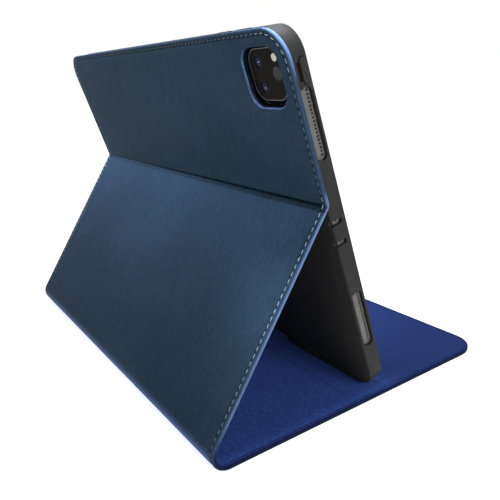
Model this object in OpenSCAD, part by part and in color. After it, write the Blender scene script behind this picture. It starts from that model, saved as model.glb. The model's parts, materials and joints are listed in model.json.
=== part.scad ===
// Folding tablet case, standing as an easel with its tablet in place.
// +X runs along the tablet's long edge, -Y is the screen side, +Z is up.
// The origin is at the middle of the footprint, on the desk.

/* [Tablet] */
// Long edge of the tablet
tablet_w = 247.6; // [240:0.1:256]
// Short edge of the tablet
tablet_h = 178.5; // [172:0.1:186]
// Thickness of the tablet
tablet_t = 5.9; // [5.5:0.1:7]
// Corner radius of the tablet, seen from the front
tablet_r = 10; // [9:0.5:14]
// Thickness of the tablet's cover glass
glass_t = 0.7; // [0.5:0.1:0.9]
// Wall of the tablet's housing
housing_wall = 1.2; // [0.8:0.1:1.6]

/* [Camera] */
// Distance of the camera window's middle from the tablet's upright centre line
camera_x = 108.7; // [100:0.1:110]
// Height of the camera window's middle above the tray's lower edge
camera_u = 164; // [155:0.1:166]
// Side of the square camera block
camera_side = 22.2; // [18:0.1:24]
// Radius of the two large lenses, rings included
lens_r = 3.7; // [3:0.1:4.2]

/* [Tray] */
// Gap between the tablet and the tray's walls
tray_gap = 0.3; // [0.2:0.05:0.4]
// Thickness of the tray's side walls
tray_wall = 1.7; // [1.4:0.1:2.5]
// Thickness of the tray's back
tray_back = 1.6; // [1.4:0.1:2]
// Height of the tray's rim above the screen
tray_rim = 0.4; // [0.2:0.1:0.8]
// Lean of the tray from upright, top towards the back
tray_lean = 15.54; // [12:0.01:18]
// Length of a speaker slot
speaker_len = 32; // [28:0.5:36]
// Width of a speaker slot
speaker_slot = 5.3; // [5:0.1:5.5]

/* [Cover] */
// Thickness of every cover panel
panel_t = 2.4; // [2.2:0.1:3]
// Thickness of the outer leather
leather_t = 0.9; // [0.7:0.1:1]
// Thickness of the board inside a panel
board_t = 0.8; // [0.6:0.1:0.9]
// Overhang of the cover past the tray's sides
overhang = 2.6; // [1:0.1:4]
// Overhang of the cover above the tray's top
overhang_top = 1.3; // [1:0.1:3]
// Height of the back fold above the tray's lower edge
fold_u = 108; // [100:0.25:112]
// Lean of the kickstand from upright, foot towards the back
kick_lean = 35.09; // [33:0.01:38]
// Outer radius of the bend where the kickstand turns onto the desk
bend_r = 8.87; // [8:0.01:10]
// Reach of the front cover in front of the tray's foot
cover_reach = 82.3; // [78:0.1:86]
// Corner radius of the cover panels
cover_r = 15; // [8:0.5:16]
// Distance of the stitching from the cover's edge
stitch_inset = 2.1; // [2:0.1:3.2]

/* [Hidden] */
$fn = 48;
eps = 0.01;
past = 1;                       // how far a cutter runs past the face it cuts
wall_cut = 2.5;                 // how far a wall's cutter reaches to each side of its face

// Thin layers and small clearances
adhesive_t = 0.2;
liner_t = 0.3;
liner_gap = 0.1;
liner_side = 3;                 // the liner stops this short of the tablet's sides
liner_end = 6;                  // and of its lower and upper ends
adhesive_side = 2;              // the backing sheet stops this short of the tray's sides
adhesive_end = 1;
adhesive_hole = 0.3;            // the backing sheet's window is this much larger
liner_hole = 0.6;
tray_hole = -0.4;               // the tray's window is this much smaller
desk_gap = 0.2;                 // between the tray's foot and the cover it stands on
seam = 0.18;                    // each panel stops this short of a fold line
lining_inset = 0.6;
thread_w = 0.6;
thread_t = 0.35;
turn_in = 3.4;                  // width of the leather turned in round a board
board_end = 1.4;                // a board stops this short of a fold's mitre
lining_t = panel_t - leather_t - board_t;

// Tray, in its own frame: X, then up its back, then from its back to the screen
tray_w = tablet_w + 2 * (tray_gap + tray_wall);
tray_h = tablet_h + 2 * (tray_gap + tray_wall);
tray_r = tablet_r + tray_gap + tray_wall;
tray_chamfer = 0.6;
tablet_back = tray_back + liner_t + liner_gap;
tablet_front = tablet_back + tablet_t;
tray_t = tablet_front + tray_rim;
tablet_mid = (tablet_back + tablet_front) / 2;
tablet_u0 = tray_gap + tray_wall;
tray_mid_u = tray_h / 2;

// Cover outline
cover_w = tray_w + 2 * overhang;
panel_top = tray_h + overhang_top;

// The easel's outline, from the tray's foot; y is measured from that foot
stack = panel_t + adhesive_t;
foot_z = panel_t + desk_gap;
bend_turn = 90 + kick_lean;
half_turn = bend_turn / 2;
tangent = bend_r * tan(half_turn / 2);
spine_len = 2 * tangent;
fold_y = fold_u * sin(tray_lean) + stack * cos(tray_lean);
fold_z = foot_z + fold_u * cos(tray_lean) - stack * sin(tray_lean);
kick_straight = (fold_z - bend_r * (1 + sin(kick_lean))) / cos(kick_lean);
kick_len = kick_straight + tangent;
rear_y = fold_y + kick_len * sin(kick_lean);
rear_z = fold_z - kick_len * cos(kick_lean);
spine_y = rear_y - spine_len * cos(half_turn);
cover_len = spine_y + cover_reach;
foot_y = (cover_reach - rear_y + seam * cos(half_turn)) / 2;

// Cut-outs of the tray
speaker_u = [43, 142];          // middles of the two speaker slots of each side
speaker_back = 0.4;             // the slots' middle lies this far behind the tablet's
mic_u = [86.5, 97];
mic_slot = 2.7;
mic_depth = 6.2;
mic_in = 0.4;                   // the slots end this far inside the cavity
window_w = 25.6;
window_r = 7.5;
usb_slot = [14, 5.9];
notch_w = 109;
notch_h = 5;
notch_front = 1.4;              // the notch ends this far behind the tablet's middle
cord_hole_x = 85.3;
cord_hole_u = 4.2;
cord_hole_r = 2.6;
button_clear = 0.35;
button_proud = 0.5;
button_root = 0.5;              // a pad starts this far outside the cavity
power_u = 164.1;
power_size = [10.8, 2.8];
power_mid = 5.65;
volume_x = [-92, -76];          // up, then down
volume_size = [12, 2.8];

// Details of the tablet
speaker_holes = 18;
speaker_pitch = 1.65;
speaker_hole_r = 0.6;
speaker_hole_front = 0.9;       // the drillings lie this far in front of the tablet's middle
mic_hole_r = 0.55;
mic_back = 1;                   // the microphones' holes lie this far behind the middle
bump_r = 6.5;
bump_up = 0.7;                  // the block sits this much above the window's middle
bump_back = 0.5;                // thickness of the camera block's glass
plate_inset = 0.35;
lens_du = 5.35;
lens_dx = 4.3;
flash_at = [-7.15, 6.8];
flash_r = 1.85;
depth_at = [-6.9, 0.3];
depth_r = 2.9;
lens_proud = 0.15;
lens_deep = 0.1;
sensor_deep = 2.8;
sensor_gap = 0.1;
ring_wall = 0.6;
own_button_proud = 0.2;

// ---------- placing ----------
module on_tray() {
    translate([0, foot_y, foot_z]) rotate([90 - tray_lean, 0, 0]) children();
}
module on_kickstand() {
    translate([0, foot_y + rear_y, rear_z]) rotate([bend_turn, 0, 0]) children();
}
module on_spine() {
    translate([0, foot_y + spine_y, 0]) rotate([half_turn, 0, 0]) children();
}
module on_cover() {
    translate([0, foot_y - cover_reach, 0]) children();
}

// ---------- outlines ----------
// Rounded rectangle round the origin
module rounded(w, h, r) {
    square([w - 2 * r, h], center = true);
    square([w, h - 2 * r], center = true);
    for (x = [-1, 1], y = [-1, 1])
        translate([x * (w / 2 - r), y * (h / 2 - r)]) circle(r);
}
// Panel outline from y0 to y1 whose two corners at y0 or y1 are round
module panel_outline(w, y0, y1, r, round_low = false, round_high = false) {
    low = round_low ? y0 + r : y0;
    high = round_high ? y1 - r : y1;
    translate([-w / 2, low]) square([w, high - low]);
    if (round_low) {
        translate([-w / 2 + r, y0]) square([w - 2 * r, r + eps]);
        for (x = [-1, 1]) translate([x * (w / 2 - r), low]) circle(r);
    }
    if (round_high) {
        translate([-w / 2 + r, high - eps]) square([w - 2 * r, r + eps]);
        for (x = [-1, 1]) translate([x * (w / 2 - r), high]) circle(r);
    }
}
module slab(z0, z1) {
    translate([0, 0, z0]) linear_extrude(z1 - z0) children();
}
// Space between a panel's two end planes; a folded end is mitred by half its turn
module between_folds(y0, y1, mitre0, mitre1) {
    rise = panel_t + past;
    rotate([90, 0, 90]) linear_extrude(cover_w + 4 * past, center = true) polygon([
        [y0 - past * tan(mitre0), -past], [y1 + past * tan(mitre1), -past],
        [y1 - rise * tan(mitre1), rise], [y0 + rise * tan(mitre0), rise]]);
}
// Capsule-shaped bar through a side wall (axis along X), middle at (u, z)
module side_capsule(x0, x1, u, z, len, width) {
    r = width / 2;
    for (s = [-1, 1]) translate([x0, u + s * (len / 2 - r), z])
        rotate([0, 90, 0]) cylinder(h = x1 - x0, r = r);
    translate([x0, u - len / 2 + r, z - r]) cube([x1 - x0, len - 2 * r, width]);
}
// The same through the top wall (axis along the tray's height), middle at (x, z)
module top_capsule(u0, u1, x, z, len, width) {
    r = width / 2;
    for (s = [-1, 1]) translate([x + s * (len / 2 - r), u0, z])
        rotate([-90, 0, 0]) cylinder(h = u1 - u0, r = r);
    translate([x - len / 2 + r, u0, z - r]) cube([len - 2 * r, u1 - u0, width]);
}

// ---------- cover panels ----------
// One layer of a panel, from z0 to z1
module layer(y0, y1, mitre0, mitre1, z0, z1, inset, low, high) {
    y_low = low ? y0 + inset : y0;
    y_high = high ? y1 - inset : y1;
    intersection() {
        slab(z0, z1) panel_outline(cover_w - 2 * inset, y_low, y_high, cover_r - inset, low, high);
        between_folds(y0, y1, mitre0, mitre1);
    }
}
// Board: the middle layer, inside the turned-in leather
module board_layer(y0, y1, mitre0, mitre1, low, high) {
    end0 = low ? y0 + turn_in : y0 + panel_t * tan(mitre0) + board_end;
    end1 = high ? y1 - turn_in : y1 - panel_t * tan(mitre1) - board_end;
    slab(leather_t, leather_t + board_t)
        panel_outline(cover_w - 2 * turn_in, end0, end1, cover_r - turn_in, low, high);
}
// Line of thread sunk in the outer leather, parallel to the free edges
module thread_layer(y0, y1, low, high) {
    in = stitch_inset;
    out = stitch_inset - thread_w;
    slab(0, thread_t) difference() {
        panel_outline(cover_w - 2 * out, low ? y0 + out : y0 + seam, high ? y1 - out : y1 - seam,
            cover_r - out, low, high);
        panel_outline(cover_w - 2 * in, low ? y0 + in : y0 - past, high ? y1 - in : y1 + past,
            cover_r - in, low, high);
    }
}
// Outer leather with its turned-in edge, open where the board and the thread lie
module leather_layer(y0, y1, mitre0, mitre1, low, high) {
    difference() {
        layer(y0, y1, mitre0, mitre1, 0, leather_t + board_t, 0, low, high);
        board_layer(y0, y1, mitre0, mitre1, low, high);
        thread_layer(y0, y1, low, high);
    }
}

// Front cover: lies on the desk, the tray's foot stands on its lining
closure_at = [70, 9];           // distance of a magnet from the middle and from the free edge
closure_size = [48, 6];
dock_y = [-6, 14];              // the strip's edges, from the tray's foot
dock_w = 180;
module closure_outline() {
    for (s = [-1, 1]) translate([s * closure_at[0], closure_at[1]]) square(closure_size, center = true);
}
module dock_outline() {
    translate([-dock_w / 2, cover_reach + dock_y[0]]) square([dock_w, dock_y[1] - dock_y[0]]);
}
module front_cover_leather() color("#26364a")
    on_cover() leather_layer(0, cover_len - seam, 0, half_turn / 2, true, false);
module front_cover_board() color("#6f6a60") on_cover() difference() {
    board_layer(0, cover_len - seam, 0, half_turn / 2, true, false);
    slab(0, panel_t) closure_outline();
    slab(0, panel_t) dock_outline();
}
module front_cover_lining() color("#24357f") on_cover()
    layer(0, cover_len - seam, 0, half_turn / 2, panel_t - lining_t, panel_t, lining_inset, true, false);
module front_cover_thread() color("#c3d6e2") on_cover()
    thread_layer(0, cover_len - seam, true, false);
module closure_magnets() color("#8c9098") on_cover()
    slab(leather_t, leather_t + board_t) closure_outline();
module dock_magnet_strip() color("#8c9098") on_cover()
    slab(leather_t, leather_t + board_t) dock_outline();

// Spine: the narrow panel between the front cover and the kickstand
module spine_leather() color("#26364a") on_spine()
    leather_layer(seam, spine_len - seam, half_turn / 2, half_turn / 2, false, false);
module spine_stiffener() color("#6f6a60") on_spine()
    board_layer(seam, spine_len - seam, half_turn / 2, half_turn / 2, false, false);
module spine_lining() color("#24357f") on_spine()
    layer(seam, spine_len - seam, half_turn / 2, half_turn / 2, panel_t - lining_t, panel_t,
        lining_inset, false, false);
module spine_thread() color("#c3d6e2") on_spine()
    thread_layer(seam, spine_len - seam, false, false);

// Kickstand: from the spine up to the back fold
module kickstand_leather() color("#2b3d52") on_kickstand()
    leather_layer(seam, kick_len - seam, half_turn / 2, 0, false, false);
module kickstand_board() color("#6f6a60") on_kickstand()
    board_layer(seam, kick_len - seam, half_turn / 2, 0, false, false);
module kickstand_lining() color("#24357f") on_kickstand()
    layer(seam, kick_len - seam, half_turn / 2, 0, panel_t - lining_t, panel_t, lining_inset, false, false);
module kickstand_thread() color("#c3d6e2") on_kickstand()
    thread_layer(seam, kick_len - seam, false, false);

// Back panel: bonded to the upper part of the tray's back
module on_back_panel() {
    on_tray() translate([0, 0, -stack]) children();
}
module camera_window(grow = 0) {
    translate([-camera_x, camera_u])
        rounded(window_w + 2 * grow, window_w + 2 * grow, window_r + grow);
}
module back_panel_leather() color("#26364a") on_back_panel() difference() {
    leather_layer(fold_u + seam, panel_top, 0, 0, false, true);
    slab(-past, panel_t + past) camera_window();
}
module back_panel_board() color("#6f6a60") on_back_panel() difference() {
    board_layer(fold_u + seam, panel_top, 0, 0, false, true);
    slab(0, panel_t) camera_window();
}
// Backing sheet and glue between the leather and the tray
module back_panel_adhesive() color("#1b1d22") on_back_panel() difference() {
    slab(leather_t + board_t, stack)
        panel_outline(tray_w - 2 * adhesive_side, fold_u + seam + past, tray_h - 2 * adhesive_end,
            tray_r - adhesive_side, false, true);
    slab(0, stack + past) camera_window(adhesive_hole);
}
module back_panel_thread() color("#c3d6e2") on_back_panel()
    thread_layer(fold_u + seam, panel_top, false, true);

// ---------- tray ----------
// Rounded slab from z = 0 to t whose edge at z = 0 is chamfered by c
module chamfered_slab(w, h, r, t, c) {
    translate([0, 0, c]) linear_extrude(t - c) rounded(w, h, r);
    rotate([90, 0, 0]) linear_extrude(h - 2 * r, center = true)
        polygon([[-w / 2 + c, 0], [w / 2 - c, 0], [w / 2, c], [-w / 2, c]]);
    rotate([90, 0, 90]) linear_extrude(w - 2 * r, center = true)
        polygon([[-h / 2 + c, 0], [h / 2 - c, 0], [h / 2, c], [-h / 2, c]]);
    for (x = [-1, 1], y = [-1, 1]) translate([x * (w / 2 - r), y * (h / 2 - r), 0])
        cylinder(h = c, r1 = r - c, r2 = r);
}
module speaker_cuts() {
    for (s = [-1, 1], u = speaker_u)
        side_capsule(s * tray_w / 2 - wall_cut, s * tray_w / 2 + wall_cut, u,
            tablet_mid - speaker_back, speaker_len, speaker_slot);
}
// Two slots that start on the tray's back and run over its edge
module mic_cuts() {
    for (u = mic_u) {
        translate([-tray_w / 2 - past, u - mic_slot / 2, -past])
            cube([tray_wall + tray_gap + past + mic_in, mic_slot, mic_depth + past - mic_slot / 2]);
        translate([-tray_w / 2 - past, u, mic_depth - mic_slot / 2])
            rotate([0, 90, 0]) cylinder(h = tray_wall + tray_gap + past + mic_in, r = mic_slot / 2);
    }
}
module tray_shell() color("#2c2d30") on_tray() difference() {
    translate([0, tray_mid_u, 0]) chamfered_slab(tray_w, tray_h, tray_r, tray_t, tray_chamfer);
    translate([0, tray_mid_u, tray_back]) linear_extrude(tray_t)
        rounded(tray_w - 2 * tray_wall, tray_h - 2 * tray_wall, tray_r - tray_wall);
    slab(-past, tray_back + past) camera_window(tray_hole);
    speaker_cuts();
    mic_cuts();
    side_capsule(tray_w / 2 - wall_cut, tray_w / 2 + wall_cut, tray_mid_u, tablet_mid,
        usb_slot[0], usb_slot[1]);
    side_capsule(-tray_w / 2 - wall_cut, -tray_w / 2 + wall_cut, power_u, power_mid,
        power_size[0] + 2 * button_clear, power_size[1] + 2 * button_clear);
    for (x = volume_x) top_capsule(tray_h - wall_cut, tray_h + wall_cut, x, tablet_mid,
        volume_size[0] + 2 * button_clear, volume_size[1] + 2 * button_clear);
    translate([-notch_w / 2, -past, -past])
        cube([notch_w, notch_h + past, past + tablet_mid - notch_front]);
    translate([-cord_hole_x, cord_hole_u, -past]) cylinder(h = tray_back + 2 * past, r = cord_hole_r);
}
// Soft sheet glued inside the tray's back
module tray_liner() color("#3a3c42") on_tray() difference() {
    translate([0, tray_mid_u, tray_back]) linear_extrude(liner_t)
        rounded(tablet_w - 2 * liner_side, tablet_h - 2 * liner_end, tablet_r - liner_side);
    slab(0, tray_t) camera_window(liner_hole);
}
// Button pads of the tray, each in its own opening of the wall
button_in = tray_w / 2 - tray_wall + button_root;
button_top = tray_h - tray_wall + button_root;
module power_button() color("#34353a") on_tray()
    side_capsule(-tray_w / 2 - button_proud, -button_in, power_u, power_mid, power_size[0], power_size[1]);
module volume_button(i) color("#34353a") on_tray()
    top_capsule(button_top, tray_h + button_proud, volume_x[i], tablet_mid, volume_size[0], volume_size[1]);
module volume_up_button() volume_button(0);
module volume_down_button() volume_button(1);

// ---------- tablet ----------
cavity_w = tablet_w - 2 * housing_wall;
cavity_h = tablet_h - 2 * housing_wall;
cavity_r = tablet_r - housing_wall;
glass_back = tablet_front - glass_t;
back_wall = 1;
display_t = 0.9;
display_inset = 7;
display_r = 6;
glass_inset = 0.2;
display_back = glass_back - display_t;
cell_t = 2.6;
cell_back = 1.2;                // gap between the housing's back face and the cells
cell_size = [92, 120];
cell_x = [-30, 66];
board_size = [36, 140, 1.2];
board_at = [-99, 85];
board_back = 1.4;
box_size = [4, 30, 2.8];        // a speaker's box
box_back = 2.45;
front_camera_in = 4.2;
front_camera_r = 1.6;
usb_r = 1.55;
usb_len = 8.9;
usb_depth = 6.5;
usb_fit = 0.01;                 // the port's shell is this much smaller than its opening
usb_wall = 0.25;
usb_end = 0.8;
own_power = [7.6, 1.6];
own_volume = [10.6, 1.8];
own_pocket = 0.1;
own_deep = 0.8;
drill = 3;                      // length of a drilling through a wall, half on each side
drill_sides = 24;

module slab_on_tablet(z0, z1, w, h, r) {
    translate([0, tray_mid_u, z0]) linear_extrude(z1 - z0) rounded(w, h, r);
}
module speaker_drillings() {
    for (s = [-1, 1], u = speaker_u, i = [0 : speaker_holes - 1])
        translate([s * tablet_w / 2 - drill / 2, u + (i - (speaker_holes - 1) / 2) * speaker_pitch,
            tablet_mid + speaker_hole_front])
            rotate([0, 90, 0]) cylinder(h = drill, r = speaker_hole_r, $fn = drill_sides);
}
module tablet_housing() color("#8b8d91") on_tray() difference() {
    slab_on_tablet(tablet_back, glass_back, tablet_w, tablet_h, tablet_r);
    slab_on_tablet(tablet_back + back_wall, tablet_front, cavity_w, cavity_h, cavity_r);
    speaker_drillings();
    for (u = mic_u) translate([-tablet_w / 2 - drill / 2, u, tablet_mid - mic_back])
        rotate([0, 90, 0]) cylinder(h = drill, r = mic_hole_r, $fn = drill_sides);
    side_capsule(tablet_w / 2 - drill / 2, tablet_w / 2 + drill / 2,
        tray_mid_u, tablet_mid, usb_len, 2 * usb_r);
    side_capsule(-tablet_w / 2 - past, -tablet_w / 2 + drill / 2, power_u, power_mid,
        own_power[0] + 2 * own_pocket, own_power[1] + 2 * own_pocket);
    for (x = volume_x) top_capsule(tray_h - tablet_u0 - drill / 2, tray_h - tablet_u0 + past, x, tablet_mid,
        own_volume[0] + 2 * own_pocket, own_volume[1] + 2 * own_pocket);
    for (s = [-1, 1])
        translate([-camera_x + lens_dx, camera_u + bump_up + s * lens_du, tablet_back - past])
        cylinder(h = drill, r = lens_r - ring_wall);
}
module tablet_glass() color("#101114") on_tray()
    slab_on_tablet(glass_back, tablet_front, tablet_w - 2 * glass_inset, tablet_h - 2 * glass_inset,
        tablet_r - glass_inset);
module display_panel() color("#15171c") on_tray()
    slab_on_tablet(display_back, glass_back, tablet_w - 2 * display_inset, tablet_h - 2 * display_inset,
        display_r);
module battery_cells() color("#3c3f45") on_tray() for (x = cell_x)
    translate([x, tray_mid_u, tablet_back + cell_back])
        linear_extrude(cell_t) square(cell_size, center = true);
module logic_board() color("#1f4a34") on_tray()
    translate([board_at[0] - board_size[0] / 2, board_at[1] - board_size[1] / 2, tablet_back + board_back])
        cube(board_size);

// Camera block, placed round its middle
module on_camera() {
    on_tray() translate([-camera_x, camera_u + bump_up, 0]) children();
}
module lens_places() {
    for (s = [-1, 1]) translate([lens_dx, s * lens_du]) children();
}
module plate_outline() {
    rounded(camera_side - 2 * plate_inset, camera_side - 2 * plate_inset, bump_r - plate_inset);
}
module camera_bump() color("#55575c") on_camera() difference() {
    slab(0, tablet_back) rounded(camera_side, camera_side, bump_r);
    slab(-past, bump_back) plate_outline();
    slab(-past, tablet_back + past) lens_places() circle(lens_r - ring_wall);
}
module camera_plate() color("#17130f") on_camera() difference() {
    slab(0, bump_back) plate_outline();
    slab(-past, tablet_back) lens_places() circle(lens_r);
    slab(-past, tablet_back) translate(flash_at) circle(flash_r);
    slab(-past, tablet_back) translate(depth_at) circle(depth_r);
}
module lens_rings() color("#2a2c31") on_camera()
    slab(-lens_proud, bump_back) lens_places() difference() {
        circle(lens_r);
        circle(lens_r - ring_wall);
    }
module lens_glasses() color("#0b1020") on_camera()
    slab(lens_deep, bump_back) lens_places() circle(lens_r - ring_wall);
module camera_sensors() color("#1c1e22") on_camera()
    slab(bump_back, tablet_back + sensor_deep) lens_places() circle(lens_r - ring_wall - sensor_gap);
module flash_lens() color("#f1ead8") on_camera()
    slab(0, bump_back) translate(flash_at) circle(flash_r);
module depth_sensor() color("#3b3d41") on_camera()
    slab(0, bump_back) translate(depth_at) circle(depth_r);

module front_camera() color("#08090c") on_tray()
    translate([-tablet_w / 2 + front_camera_in, tray_mid_u, display_back])
        cylinder(h = display_t, r = front_camera_r);
module speaker_boxes() color("#141518") on_tray() for (s = [-1, 1], u = speaker_u)
    translate([s * (cavity_w / 2 - box_size[0] / 2), u, tablet_back + box_back])
        cube(box_size, center = true);
module usb_port() color("#a9acb2") on_tray() difference() {
    side_capsule(tablet_w / 2 - usb_depth, tablet_w / 2, tray_mid_u, tablet_mid,
        usb_len - 2 * usb_fit, 2 * (usb_r - usb_fit));
    side_capsule(tablet_w / 2 - usb_depth + usb_end, tablet_w / 2 + past, tray_mid_u, tablet_mid,
        usb_len - 2 * usb_wall, 2 * (usb_r - usb_wall));
}
// The tablet's own buttons, under the tray's pads
module tablet_power_button() color("#8b8d91") on_tray()
    side_capsule(-tablet_w / 2 - own_button_proud, -tablet_w / 2 + own_deep, power_u, power_mid,
        own_power[0], own_power[1]);
module tablet_volume(i) color("#8b8d91") on_tray()
    top_capsule(tray_h - tablet_u0 - own_deep, tray_h - tablet_u0 + own_button_proud,
        volume_x[i], tablet_mid, own_volume[0], own_volume[1]);
module tablet_volume_up() tablet_volume(0);
module tablet_volume_down() tablet_volume(1);

front_cover_leather();
front_cover_board();
front_cover_lining();
front_cover_thread();
closure_magnets();
dock_magnet_strip();
spine_leather();
spine_stiffener();
spine_lining();
spine_thread();
kickstand_leather();
kickstand_board();
kickstand_lining();
kickstand_thread();
back_panel_leather();
back_panel_board();
back_panel_adhesive();
back_panel_thread();
tray_shell();
tray_liner();
power_button();
volume_up_button();
volume_down_button();
tablet_housing();
tablet_glass();
display_panel();
battery_cells();
logic_board();
camera_bump();
camera_plate();
lens_rings();
lens_glasses();
camera_sensors();
flash_lens();
depth_sensor();
front_camera();
speaker_boxes();
usb_port();
tablet_power_button();
tablet_volume_up();
tablet_volume_down();
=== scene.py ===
import json
import math

import bmesh
import bpy
import numpy as np
from mathutils import Matrix, Vector, noise
from mathutils.kdtree import KDTree


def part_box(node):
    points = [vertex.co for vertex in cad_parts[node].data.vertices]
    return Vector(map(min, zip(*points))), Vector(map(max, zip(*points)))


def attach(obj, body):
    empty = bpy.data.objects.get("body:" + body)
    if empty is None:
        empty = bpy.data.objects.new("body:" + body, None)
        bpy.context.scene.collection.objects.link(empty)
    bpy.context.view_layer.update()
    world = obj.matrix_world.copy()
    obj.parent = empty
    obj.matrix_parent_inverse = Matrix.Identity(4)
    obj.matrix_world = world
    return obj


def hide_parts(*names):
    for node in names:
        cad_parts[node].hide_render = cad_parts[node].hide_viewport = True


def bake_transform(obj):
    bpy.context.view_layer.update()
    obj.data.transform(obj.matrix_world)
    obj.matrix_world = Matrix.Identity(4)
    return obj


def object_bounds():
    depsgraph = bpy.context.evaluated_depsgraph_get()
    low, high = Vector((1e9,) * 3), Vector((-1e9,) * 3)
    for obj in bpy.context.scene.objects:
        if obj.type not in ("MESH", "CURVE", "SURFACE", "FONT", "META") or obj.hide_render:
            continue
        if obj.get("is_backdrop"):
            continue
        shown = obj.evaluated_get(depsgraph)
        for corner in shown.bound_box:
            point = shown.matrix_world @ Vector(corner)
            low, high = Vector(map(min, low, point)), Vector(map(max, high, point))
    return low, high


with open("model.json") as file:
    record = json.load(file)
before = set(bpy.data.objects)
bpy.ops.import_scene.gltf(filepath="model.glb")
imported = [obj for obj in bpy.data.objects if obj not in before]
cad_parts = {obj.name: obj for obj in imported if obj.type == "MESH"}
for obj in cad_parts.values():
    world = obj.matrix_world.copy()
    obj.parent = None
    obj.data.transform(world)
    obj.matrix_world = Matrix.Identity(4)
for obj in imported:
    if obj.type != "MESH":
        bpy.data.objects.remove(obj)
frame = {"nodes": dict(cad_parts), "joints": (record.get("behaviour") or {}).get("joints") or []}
NODE = frame["nodes"]
JOINT = {j["name"]: j for j in frame["joints"]}
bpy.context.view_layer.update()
MM = 0.001

# ------------------------------- the frame, in millimetres
# A, B and F are the spine's two folds and the back fold, as (y, z)
A = np.array(JOINT["spine_front_fold"]["pos_m"][1:]) / MM
B = np.array(JOINT["spine_rear_fold"]["pos_m"][1:]) / MM
F = np.array(JOINT["back_fold"]["pos_m"][1:]) / MM
N_T = np.array(JOINT["tablet_lift"]["axis"][1:])
N_T = N_T / np.linalg.norm(N_T)          # out of the screen
D_T = np.array([N_T[1], -N_T[0]])        # up the tray's back
if D_T[1] < 0:
    D_T = -D_T
cover_low, cover_high = (np.array(v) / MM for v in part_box("front_cover_leather"))
HALF = cover_high[0]                     # half the cover's width
FRONT = cover_low[1]
PANEL = 2.4                              # thickness of a cover panel
TURN_IN = 1.7                            # depth to which the leather is turned in at the top
GLUE = 0.2                               # bonding sheet between the back panel and the tray
R_COVER = 15.0                           # radius of its corners
tray_co = np.array([v.co for v in NODE["tray_shell"].data.vertices])[:, 1:] / MM
FOOT = D_T * (tray_co @ D_T).min() + N_T * (tray_co @ N_T).min()
TRAY_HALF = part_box("tray_shell")[1][0] / MM
back_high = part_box("back_panel_leather")[1][2] / MM
BACK_TOP = (back_high - F[1] - N_T[1] * TURN_IN) / D_T[1]   # the back panel's length above its fold

# ------------------------------- the cover's outer skin, unrolled
# x runs across, s from the front edge along the skin, h from the skin inwards; the spine's turn runs
# from S_BEND0 to S_BEND1, the back fold is at S_FOLD and the top edge at S_TOP
D_K = (F - B) / np.linalg.norm(F - B)
TURN = math.atan2(D_K[1], D_K[0])
BEND_TAN = np.linalg.norm(B - A) / 2
BEND_R = BEND_TAN / math.tan(TURN / 4)
FOLD = TURN - math.atan2(D_T[1], D_T[0])
S_BEND0 = A[0] - BEND_TAN - FRONT
S_BEND1 = S_BEND0 + BEND_R * TURN
S_MID = (S_BEND0 + S_BEND1) / 2
KICK0 = B + D_K * BEND_TAN
S_FOLD = S_BEND1 + np.linalg.norm(F - KICK0)
S_TOP = S_FOLD + BACK_TOP
VALLEY_R = 2.5                           # radius of the skin in the back fold
VALLEY = VALLEY_R * math.tan(FOLD / 2)
BORDERS = [0, S_BEND0 - 2, S_MID, S_BEND1 + 2, S_FOLD - 7, S_FOLD + 6, S_TOP]
REGIONS = ["front", "bend_front", "bend_rear", "kickstand", "fold", "back"]


def turned(angle):
    return np.stack([np.cos(angle), np.sin(angle)], -1)


def skin_path(s):
    """Point and inward normal of the outer skin at s, in the upright plane."""
    s = np.asarray(s, float)
    angle = np.zeros_like(s)
    point = np.stack([FRONT + s, np.zeros_like(s)], -1)
    m = s > S_BEND0
    a = np.clip((s - S_BEND0) / BEND_R, 0, TURN)
    centre = np.array([FRONT + S_BEND0, BEND_R])
    point[m] = (centre + BEND_R * turned(a - math.pi / 2))[m]
    angle[m] = a[m]
    m = s > S_BEND1
    point[m] = (KICK0 + (s - S_BEND1)[..., None] * D_K)[m]
    m = s > S_FOLD - VALLEY
    t = np.clip((s - S_FOLD + VALLEY) / (2 * VALLEY), 0, 1)
    n_k = np.array([-D_K[1], D_K[0]])
    vc = F - D_K * VALLEY - n_k * VALLEY_R
    a = TURN - FOLD * t
    point[m] = (vc + VALLEY_R * turned(a + math.pi / 2))[m]
    angle[m] = a[m]
    m = s > S_FOLD + VALLEY
    point[m] = (F + (s - S_FOLD)[..., None] * D_T)[m]
    return point, turned(angle + math.pi / 2)


def on_skin(x, s, h):
    """Flat coordinates to metres in the row frame."""
    p, n = skin_path(s)
    yz = p + n * np.asarray(h, float)[..., None]
    return np.stack([np.asarray(x, float), yz[..., 0], yz[..., 1]], -1) * MM


def on_tray(x, u, w):
    """Tray coordinates to metres: u up the tray's back, w towards the screen."""
    yz = FOOT + np.asarray(u, float)[..., None] * D_T + np.asarray(w, float)[..., None] * N_T
    return np.stack([np.broadcast_to(x, yz[..., 0].shape), yz[..., 0], yz[..., 1]], -1) * MM


def on_back(x, u, h):
    """The same with the depth h measured inwards from the back panel's outer face."""
    return on_tray(x, u, h - PANEL - GLUE)


def smooth(a, b, v):
    t = np.clip((np.asarray(v, float) - a) / (b - a), 0, 1)
    return t * t * (3 - 2 * t)


def bell(v, mid, width):
    return np.exp(-((v - mid) / width) ** 2)


def wave(x, s, size, seed):
    return np.array([noise.noise((a / size + seed, b / size - seed, seed * 0.37)) for a, b in zip(x, s)])


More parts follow.
